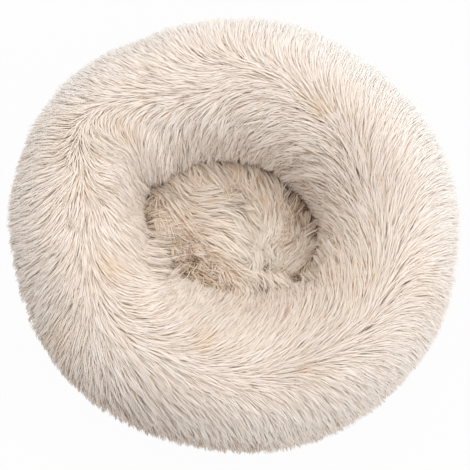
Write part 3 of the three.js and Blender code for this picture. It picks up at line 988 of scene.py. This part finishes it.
def ring_strands(cloth, coat):
    """One coat of the ring: centre lines, normals, widths and tones."""
    rows, count = cloth.points.shape[1], coat.count
    rng = np.random.default_rng(coat.seed)
    turn = np.linspace(0, 4, rows)[None]
    around = round_the_bed(len(cloth.points))[:, None]
    sparse = by_azimuth(SPARSE_INSIDE, around) * rising(turn, *WALL_TURNS)
    places = cloth.sown(count, looked_up(SOWN_BY_TURN, turn) * (1 - sparse), coat.seed + 1)
    roots = cloth.look_up(cloth.points, places)
    normals = unit(cloth.look_up(cloth.normals, places))
    azimuth, share = plan_place(roots)

    def at(table):
        return by_azimuth(table, azimuth)

    under = rising(np.interp(places[:, 1], [0, rows - 1], [0, 4]), *UNDERSIDE_TURNS)
    steepness = np.clip(normals[:, 2], LEAST_STEEPNESS, 1)
    inside = rising(share, *INSIDE)
    tousled = 1 + inside * at(TOUSLED_INSIDE)
    stray = np.radians(waved(roots, RING_STRAY_DEG) + rng.normal(0, coat.stray_deg, count) * tousled)
    curl = np.radians(rng.normal(0, 2 * coat.stray_deg, count)) * tousled

    def angle_at(points):
        there, share_there = plan_place(points)
        passed = turned_by(azimuth, there) * normals[:, 2]
        seen = brushed_angle(there, share_there)
        angle = np.arctan2(np.sin(seen) * steepness, np.cos(seen))
        angle = angle + turned_by(angle, math.radians(UNDERSIDE_DEG)) * under
        far = np.linalg.norm(points - roots, axis=-1) / STRAND_LENGTH
        return -angle + passed + stray + curl * far

    ahead = brushed_angle(azimuth, share + PARTING_SHARE)
    behind = brushed_angle(azimuth, share - PARTING_SHARE)
    parting = rising(np.degrees(np.abs(ahead - behind)), *PARTING_DEG)
    base = np.cross(normals, np.stack([-np.sin(azimuth), np.cos(azimuth), 0 * azimuth], -1))
    edge = rising(share, *NEST_EDGE)
    length = STRAND_LENGTH * looked_up(LENGTH_BY_SHARE, share) * coat.length
    length = length * (1 + (at(EDGE_PILE) - 1) * edge)
    length = length * varied(rng, count, *RING_LENGTH_SPREAD)
    lift = np.interp(share, ANGLE_SHARES, coat.lift_deg) + PARTING_LIFT_DEG * parting
    lift = lift + TOUSLED_LIFT_DEG * (tousled - 1) + rng.normal(0, RING_LIFT_SPREAD_DEG, count) * tousled
    lift = np.radians(lift + waved(roots, RING_LIFT_DEG))
    bow = looked_up(BOW_BY_SHARE, share) - PARTING_BOW * parting
    stand = np.interp(share, ANGLE_SHARES, coat.stand) + at(EDGE_STAND) * edge
    stand = stand + UNDERSIDE_STAND * under * rng.random(count)
    hug = looked_up(HUG_BY_SHARE, share)
    droop = RING_DROOP + (RING_DROOP + LOW_EDGE_DROOP * rising(share, *LOW_EDGE)) * rng.random(count)
    locked = at(LOCKED_OUTSIDE) * rising(share, *LOCKS_OUTSIDE)
    locked = locked + at(LOCKED_INSIDE) * rising(share, *LOCKS_INSIDE)
    tuft = coat.tuft + locked + waved(roots, RING_TUFT) + RING_TUFT_SPREAD * rng.normal(size=count)
    tuft = np.clip(tuft, 0, RING_TUFT_MOST)
    lines, normals, nearest = grown(
        cloth, places, base, angle_at, length, lift, bow, stand, hug, droop, tuft, coat
    )
    brink = rising(share, *BRINK)
    # The outside is paler, and is also painted lighter on its lit side and darker on its shaded side
    tone = coat.tone + (OUTSIDE_TONE + at(OUTSIDE_PAINTED_LIGHT_AND_SHADE)) * rising(share, *OUTSIDE)
    tone = tone - PARTING_TONE * parting
    # Painted light and shade on the nest's wall by azimuth, and painted shade on the outer edge's shaded side
    tone = tone + at(INSIDE_PAINTED_LIGHT_AND_SHADE) * inside + at(EDGE_PAINTED_SHADE) * brink
    tone = tone + spotted(lines[:, 2], RING_TONES)
    # Darkened strands stand in for shade: on the nest's wall facing away from the light and at the outer
    # edge's shaded side
    painted_shade = at(PAINTED_SHADE_INSIDE) * inside * coat.dark_inside + at(PAINTED_SHADE_EDGE) * brink
    return lines, normals, *coloured(rng, tone, RING_TONE_SPREAD, nearest, painted_shade)


def coloured(rng, tone, spread, nearest, painted_shade):
    """Each strand's width, and its tone with a spread of its own and one of its lock, or 0 if it is one of
    the darkened strands that are painted shade.
    """
    count = len(tone)
    tone = tone + spread * rng.normal(size=count)
    tone = np.clip(tone + spread * rng.normal(size=count)[nearest], DARK_TONE, 1)
    tone = np.where(rng.random(count) < painted_shade, 0, tone)
    return STRAND_WIDTH * varied(rng, count, *WIDTH_SPREAD), tone


def spotted(points, spots):
    """The sum of round spots at each point, each as high as it says."""
    total = np.zeros(len(points))
    for x, y, height, reach in spots:
        total += height * np.exp(-(((points[:, 0] - x) ** 2 + (points[:, 1] - y) ** 2) / reach**2))
    return total


def seat_strands(cloth, coat):
    """One coat of the seat: centre lines, normals, widths and tones."""
    rows, count = cloth.points.shape[1], coat.count
    rng = np.random.default_rng(coat.seed)
    density = rising(np.linspace(0, 1, rows)[None], *SEAT_SOWN)
    places = cloth.sown(count, np.broadcast_to(density, cloth.areas.shape), coat.seed + 1)
    roots = cloth.look_up(cloth.points, places)
    standing = np.clip(spotted(roots, SEAT_STANDING) + waved(roots, SEAT_STANDING_WAVES), 0, 1)
    stray = SEAT_TURN_DEG + spotted(roots, SEAT_TURNED) + waved(roots, SEAT_TURN_WAVES_DEG)
    stray = stray + coat.stray_deg * rng.normal(size=count)
    stray = np.radians(stray + STANDING_STRAY_DEG * standing**2 * rng.normal(size=count))
    sink_x, sink_y = SEAT_SINK
    aside = sink_x - roots[:, 0]
    aside = aside - np.clip(SEAT_SINK_PULL * aside, -SEAT_SINK_REACH, SEAT_SINK_REACH)
    beyond = np.clip((sink_y + SEAT_SINK_DEPTH - roots[:, 1]) / SEAT_FRONT_REACH, 0, 1)
    heading = np.arctan2(np.minimum(sink_y - roots[:, 1], -SEAT_SINK_DEPTH), aside)
    heading = heading + (math.radians(SEAT_FRONT_DEG) - heading) * beyond + stray
    length = STRAND_LENGTH * coat.length * varied(rng, count, *SEAT_LENGTH_SPREAD)
    length = length * (1 - STANDING_SHORTER * standing)
    rim = rising(places[:, 1] / (rows - 1), *SEAT_RIM)
    azimuth = np.arctan2(roots[:, 1], roots[:, 0])
    standing = np.maximum(standing, rim * by_azimuth(SEAT_RIM_STANDING, azimuth))
    lift = coat.lift_deg + STANDING_LIFT_DEG * standing + rng.normal(0, SEAT_LIFT_SPREAD_DEG, count)
    lift = np.radians(lift)
    bow = np.where(standing > 0.5, STANDING_BOW, SEAT_BOW)
    stand = np.full(count, SEAT_STAND)
    hug = np.full(count, SEAT_HUG)
    droop = (SEAT_DROOP[0] + SEAT_DROOP[1] * rng.random(count)) * (1 - standing)
    tuft = np.clip(coat.tuft + SEAT_TUFT_SPREAD * rng.normal(size=count), 0, SEAT_TUFT_MOST)
    base = np.broadcast_to([1.0, 0.0, 0.0], roots.shape)
    lines, normals, nearest = grown(
        cloth, places, base, lambda points: heading, length, lift, bow, stand, hug, droop, tuft, coat
    )
    # Painted light in the seat's middle and painted shade round its rim
    tone = coat.tone + spotted(roots, SEAT_PAINTED_LIGHT_AND_SHADE)
    # Darkened strands as painted shade in the seat's hollows and under the ring's wall
    painted_shade = spotted(lines[:, 2], SEAT_PAINTED_SHADE)
    return lines, normals, *coloured(rng, tone, SEAT_TONE_SPREAD, nearest, painted_shade)


def make_plush(part, grid, strands, coats, pieces, material, pressure):
    """A puffed backing, and the pieces of pile that hold its coats' strands."""
    cloth = Cloth(puffed(grid, pressure, PUFF_CAP))
    body = grid_object(f"{part}_backing", cloth.points, BACKING_PAINTED_SHADE)
    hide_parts(f"{part}_cover")
    whole = [np.concatenate(values) for values in zip(*(strands(cloth, coat) for coat in coats))]
    order = np.argsort(np.arctan2(whole[0][:, 0, 1], whole[0][:, 0, 0]))
    for index, mine in enumerate(np.array_split(order, pieces)):
        pile = strand_object(f"{part}_pile_{index + 1:02d}", *(values[mine] for values in whole), material)
        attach(pile, "root")


def make_ring():
    grid = ring_grid(around=192, rows=60)
    coats = (RING_UNDERCOAT, RING_GUARD)
    make_plush("ring", grid, ring_strands, coats, RING_PILES, RING_PILE, pressure=3.0)


def make_seat():
    grid = seat_grid(around=144, rows=48)
    coats = (SEAT_UNDERCOAT, SEAT_GUARD)
    make_plush("seat", grid, seat_strands, coats, SEAT_PILES, SEAT_PILE, pressure=2.0)


def make_fill():
    """The loose fibre inside the ring and the seat."""
    ring = ring_grid(around=144, rows=40, slack=FILL_SLACK)
    seat = seat_grid(around=96, rows=28, slack=FILL_SLACK)
    for part, points in (("ring", ring), ("seat", seat)):
        fibre = grid_object(f"{part}_fibre", points, FIBRE)
        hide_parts(f"{part}_fill")


def make_base():
    """The base cloth, which puckers a little at its seam, and its bonded dots."""
    around, rows = 192, len(BASE_SHARES)
    azimuth = round_the_bed(around)
    nest, outside = edges(azimuth)
    edge = nest + unit(outside - nest) * (ring_width(azimuth) - OUTER_TUCK + BASE_EDGE_OUT)[:, None]
    plan = edge[:, None] * BASE_SHARES[None, :, None]
    pucker = PUCKER_HEIGHT * np.sin(azimuth * PUCKER_COUNT)[:, None]
    pucker = pucker * np.exp(-(((1 - BASE_SHARES) / PUCKER_REACH) ** 2))
    faces, points = [], []
    for height, flip in ((CLOTH_TOP - BASE_EASE, False), (DOT_HEIGHT + BASE_EASE, True)):
        base = len(points)
        face_points = np.concatenate([plan, (height + pucker)[..., None]], -1)
        points += face_points.reshape(-1, 3).tolist()
        points.append([0, 0, float(face_points[:, -1, 2].mean())])
        inner = [a * rows + rows - 1 for a in range(around)]
        fan = [[here, there, around * rows] for here, there in zip(inner, inner[1:] + inner[:1])]
        for face in grid_faces(around, rows) + fan:
            faces.append([base + corner for corner in (face[::-1] if flip else face)])
    second = around * rows + 1
    for a in range(around):
        here, there = a * rows, (a + 1) % around * rows
        faces.append([second + here, second + there, there, here])
    cloth = piece("base_cloth_woven", points, faces, WEAVE)
    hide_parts("base_cloth")
    dots = make_dots(azimuth, edge)


def make_dots(azimuth, edge):
    """Low domes of clear rubber on a triangular grid, bonded under the base cloth."""
    reach = np.linalg.norm(edge, axis=-1)
    span = int(reach.max() / DOT_PITCH * 2)
    radius = DOT_DIAMETER / 2
    points, faces = [], []
    for row in range(-span, span + 1):
        for column in range(-span, span + 1):
            x = DOT_PITCH * (column + row % 2 / 2)
            y = DOT_PITCH * math.sqrt(3) / 2 * row
            limit = np.interp(math.atan2(y, x) % TAU, azimuth, reach, period=TAU)
            if math.hypot(x, y) >= limit - DOT_MARGIN - radius:
                continue
            base = len(points)
            for share, height in DOT_ROWS:
                for angle in (TAU * side / DOT_SIDES for side in range(DOT_SIDES)):
                    out = radius * share
                    points.append((x + out * math.cos(angle), y + out * math.sin(angle), height))
            points.append((x, y, 0.0))
            top = len(points) - 1
            last = top - DOT_SIDES
            pairs = [(side, (side + 1) % DOT_SIDES) for side in range(DOT_SIDES)]
            for low in range(base, last, DOT_SIDES):
                high = low + DOT_SIDES
                faces += [(low + side, high + side, high + other, low + other) for side, other in pairs]
            faces += [(last + side, top, last + other) for side, other in pairs]
            faces.append([base + side for side in range(DOT_SIDES)])
    return piece("base_dots", points, faces, RUBBER)


def make_tapes():
    """The two tapes that stand on the base cloth along the ring's hems."""
    azimuth = round_the_bed(240)
    width = ring_width(azimuth)
    levels = COVER_FLOOR + np.array([0, TAPE_BEVEL, TAPE_HEIGHT - TAPE_BEVEL, TAPE_HEIGHT])
    bevels = (TAPE_BEVEL, 0, 0, TAPE_BEVEL)
    for part, near in (
        ("outer", width - OUTER_TUCK - FIT_GAP - TAPE_THICKNESS),
        ("inner", INNER_TUCK + FIT_GAP + 0 * width),
    ):
        far = near + TAPE_THICKNESS
        corners = [(near + bevel, level) for bevel, level in zip(bevels, levels)]
        corners += [(far - bevel, level) for bevel, level in zip(bevels, levels[::-1])]
        rows = [placed(azimuth, out, height + 0 * azimuth) for out, height in corners[::-1]]
        band = grid_object(f"{part}_hem_band", np.stack(rows, 1), TAPE, closed_rows=True)
        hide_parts(f"{part}_hem_tape")


def make_threads():
    """The seams' threads, each in running stitches."""
    azimuth = round_the_bed(2880)
    way = np.stack([np.cos(azimuth), np.sin(azimuth), 0 * azimuth], -1)
    upright = np.broadcast_to([0.0, 0.0, 1.0], way.shape)
    out = ring_width(azimuth) - OUTER_TUCK + BASE_SEAM_OUT
    path = placed(azimuth, out, 0 * azimuth + BASE_SEAM_HEIGHT)
    stitched("base", path, side=way, dip=upright * 0.0014, stitch=0.005)
    height = SEAT_SEAM_HEIGHT + 0 * azimuth
    path = placed(azimuth, wall_out(height) - SEAT_SEAM_INSET, height)
    stitched("seat", path, side=upright, dip=way * 0.0012, stitch=0.005)
    turn = np.linspace(*CLOSING_SEAM_TURNS, 900)
    azimuth = np.full(len(turn), math.radians(CLOSING_SEAM_DEG))
    path = placed(azimuth, *ring_section(azimuth, turn, looked_up(RING_BED, turn) + THREAD_RADIUS))
    nest, outside = edges(azimuth)
    over = np.concatenate([unit(outside - nest), 0 * azimuth[:, None]], -1)
    square = np.cross(over, [0.0, 0.0, 1.0])
    dip = np.cross(unit(np.gradient(path, axis=0)), square) * 0.0009
    stitched("closing", path, side=square, dip=dip, stitch=0.006)


make_ring()
make_seat()
make_fill()
make_base()
make_tapes()
make_threads()


# Stage


def make_floor():
    """A grey floor that glows white where it is seen, and still keeps a faint shadow."""
    nodes = material_nodes("floor")
    nodes.shader.inputs["Base Color"].default_value = (FLOOR_GREY, FLOOR_GREY, FLOOR_GREY, 1)
    nodes.shader.inputs["Roughness"].default_value = 0.9
    part = nodes.add("ShaderNodeMath", operation="MULTIPLY")
    part.inputs[1].default_value = FLOOR_GLOW
    glow = nodes.add("ShaderNodeEmission", Color=(1, 1, 1, 1), Strength=1.0)
    mix = nodes.add("ShaderNodeMixShader")
    nodes.link(nodes.seen_by("Is Camera Ray", "Is Glossy Ray", "Is Transmission Ray"), part.inputs[0])
    nodes.link(part.outputs[0], mix.inputs[0])
    nodes.link(nodes.shader.outputs[0], mix.inputs[1])
    nodes.link(glow.outputs[0], mix.inputs[2])
    nodes.link(mix.outputs[0], nodes.tree.nodes["Material Output"].inputs[0])
    corners = [(x * FLOOR_REACH, y * FLOOR_REACH, 0) for x, y in ((-1, -1), (1, -1), (1, 1), (-1, 1))]
    mesh_object("floor", corners, [(0, 1, 2, 3)], nodes.owner, smooth=False)


def make_world():
    """A world that is white where it is seen, and lights the bed less than that."""
    world = bpy.data.worlds.new("studio")
    bpy.context.scene.world = world
    nodes = Nodes(world)
    background = nodes.tree.nodes["Background"]
    background.inputs[0].default_value = (1, 1, 1, 1)
    level = nodes.add("ShaderNodeMapRange")
    level.inputs["To Min"].default_value = WORLD_LIGHT
    level.inputs["To Max"].default_value = 1.0
    nodes.link(nodes.seen_by("Is Camera Ray", "Is Transmission Ray"), level.inputs["Value"])
    nodes.link(level.outputs[0], background.inputs[1])


def add_light(name, place, size, power):
    light = bpy.data.lights.new(name, "AREA")
    light.shape = "DISK"
    light.size = size
    light.energy = power
    lamp = linked(name, light)
    lamp.location = place
    lamp.rotation_euler = (-Vector(place)).to_track_quat("-Z", "Y").to_euler()


def make_camera():
    camera = bpy.data.cameras.new("camera")
    camera.lens = LENS
    camera.sensor_width = SENSOR
    elevation = math.radians(VIEW_ELEVATION_DEG)
    width = (CAD_BOX[1].x - CAD_BOX[0].x + PILE_PAST_SOLIDS) * PHOTO_SIZE / PHOTO_WIDTH
    away = Vector((0, -math.cos(elevation), math.sin(elevation)))
    held = linked("camera", camera)
    held.location = CAMERA_TARGET + away * width * LENS / SENSOR
    held.rotation_euler = (-away).to_track_quat("-Z", "Y").to_euler()
    bpy.context.scene.camera = held


bpy.context.scene.view_settings.view_transform = "Standard"
make_floor()
make_world()
add_light("back", place=(0.0, 1.38, 2.2), size=3.0, power=31)
add_light("right", place=(2.13, -0.57, 1.38), size=3.0, power=23)
make_camera()
